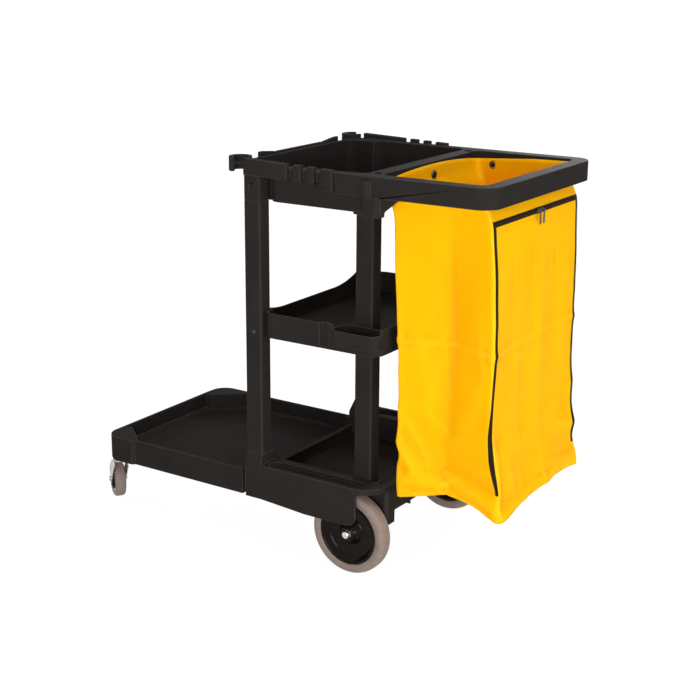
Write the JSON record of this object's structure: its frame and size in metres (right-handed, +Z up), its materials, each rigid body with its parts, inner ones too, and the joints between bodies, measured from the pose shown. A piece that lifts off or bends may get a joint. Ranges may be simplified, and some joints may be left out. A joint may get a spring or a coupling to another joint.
{
  "type": "janitor cart",
  "caption": "Wheeled cleaning cart with a front deck, bottom shelf, middle shelf, top tray with tool slots, and a U-shaped handle that holds a zipped vinyl bag",
  "frame": {"origin": "on the floor under the middle of the cart's box", "axes": "+X along the cart towards the handle and bag, +Y to the right hand of someone who pushes the cart by its handle, +Z up"},
  "size_m": [1.2062, 0.552, 0.983],
  "materials": {
    "cart_plastic": "satin moulded structural plastic",
    "hub_plastic": "glossy black hub",
    "nylon": "natural nylon bushing",
    "tread": "grey-beige soft tread",
    "steel": "bright steel",
    "zinc": "zinc plated pressing",
    "vinyl": "coated yellow vinyl cloth",
    "zip_black": "dark woven zip",
    "zip_metal": "dark nickel"
  },
  "bodies": {
    "cart": {"base_platform": "cart_plastic", "front_post_left": "cart_plastic", "front_post_right": "cart_plastic", "rear_post_left": "cart_plastic", "rear_post_right": "cart_plastic", "middle_shelf": "cart_plastic", "shelf_screws": "zip_metal", "top_tray": "cart_plastic", "axle": "steel", "axle_washers": "steel", "axle_caps": "steel", "caster_sleeve_left": "zinc", "caster_sleeve_right": "zinc", "bag_body": "vinyl", "bag_hem": "vinyl", "bag_grommets": "zip_metal", "bag_hooks": "cart_plastic", "zip_tape": "zip_black", "zip_chain": "zip_black"},
    "wheel_left": {"wheel_hub_left": "hub_plastic", "wheel_bushing_left": "nylon", "tyre_left": "tread"},
    "caster_left": {"caster_stem_left": "zinc", "caster_fork_left": "zinc", "caster_bolt_left": "zinc"},
    "caster_wheel_left": {"caster_hub_left": "hub_plastic", "caster_tread_left": "tread"},
    "zip_slider_left": {"zip_slider_left": "zip_metal"},
    "zip_pull_left": {"zip_pull_left": "zip_metal"},
    "wheel_right": {"wheel_hub_right": "hub_plastic", "wheel_bushing_right": "nylon", "tyre_right": "tread"},
    "caster_right": {"caster_stem_right": "zinc", "caster_fork_right": "zinc", "caster_bolt_right": "zinc"},
    "caster_wheel_right": {"caster_hub_right": "hub_plastic", "caster_tread_right": "tread"},
    "zip_slider_right": {"zip_slider_right": "zip_metal"},
    "zip_pull_right": {"zip_pull_right": "zip_metal"}
  },
  "joints": [
    {"name": "wheel_left_spin", "type": "hinge", "parent": "cart", "child": "wheel_left", "pos_m": [0.23383, -0.24, 0.1016], "axis": [0, 1, 0], "continuous": true},
    {"name": "caster_left_swivel", "type": "hinge", "parent": "cart", "child": "caster_left", "pos_m": [-0.52417, -0.224, 0.128], "axis": [0, 0, 1], "continuous": true},
    {"name": "caster_left_spin", "type": "hinge", "parent": "caster_left", "child": "caster_wheel_left", "pos_m": [-0.55772, -0.19872, 0.05], "axis": [-0.6018, -0.7986, 0], "continuous": true},
    {"name": "zip_left_slide", "type": "slide", "parent": "cart", "child": "zip_slider_left", "axis": [0, -1, 0], "range_m": [0, 0.18]},
    {"name": "zip_left_lift", "type": "hinge", "parent": "zip_slider_left", "child": "zip_pull_left", "pos_m": [0.58502, -0.009, 0.884], "axis": [0, -1, 0], "range_deg": [0, 140]},
    {"name": "wheel_right_spin", "type": "hinge", "parent": "cart", "child": "wheel_right", "pos_m": [0.23383, 0.24, 0.1016], "axis": [0, 1, 0], "continuous": true},
    {"name": "caster_right_swivel", "type": "hinge", "parent": "cart", "child": "caster_right", "pos_m": [-0.52417, 0.224, 0.128], "axis": [0, 0, 1], "continuous": true},
    {"name": "caster_right_spin", "type": "hinge", "parent": "caster_right", "child": "caster_wheel_right", "pos_m": [-0.55772, 0.19872, 0.05], "axis": [0.6018, -0.7986, 0], "continuous": true},
    {"name": "zip_right_slide", "type": "slide", "parent": "cart", "child": "zip_slider_right", "axis": [0, 1, 0], "range_m": [0, 0.18]},
    {"name": "zip_right_lift", "type": "hinge", "parent": "zip_slider_right", "child": "zip_pull_right", "pos_m": [0.58502, 0.009, 0.884], "axis": [0, -1, 0], "range_deg": [0, 140]}
  ]
}
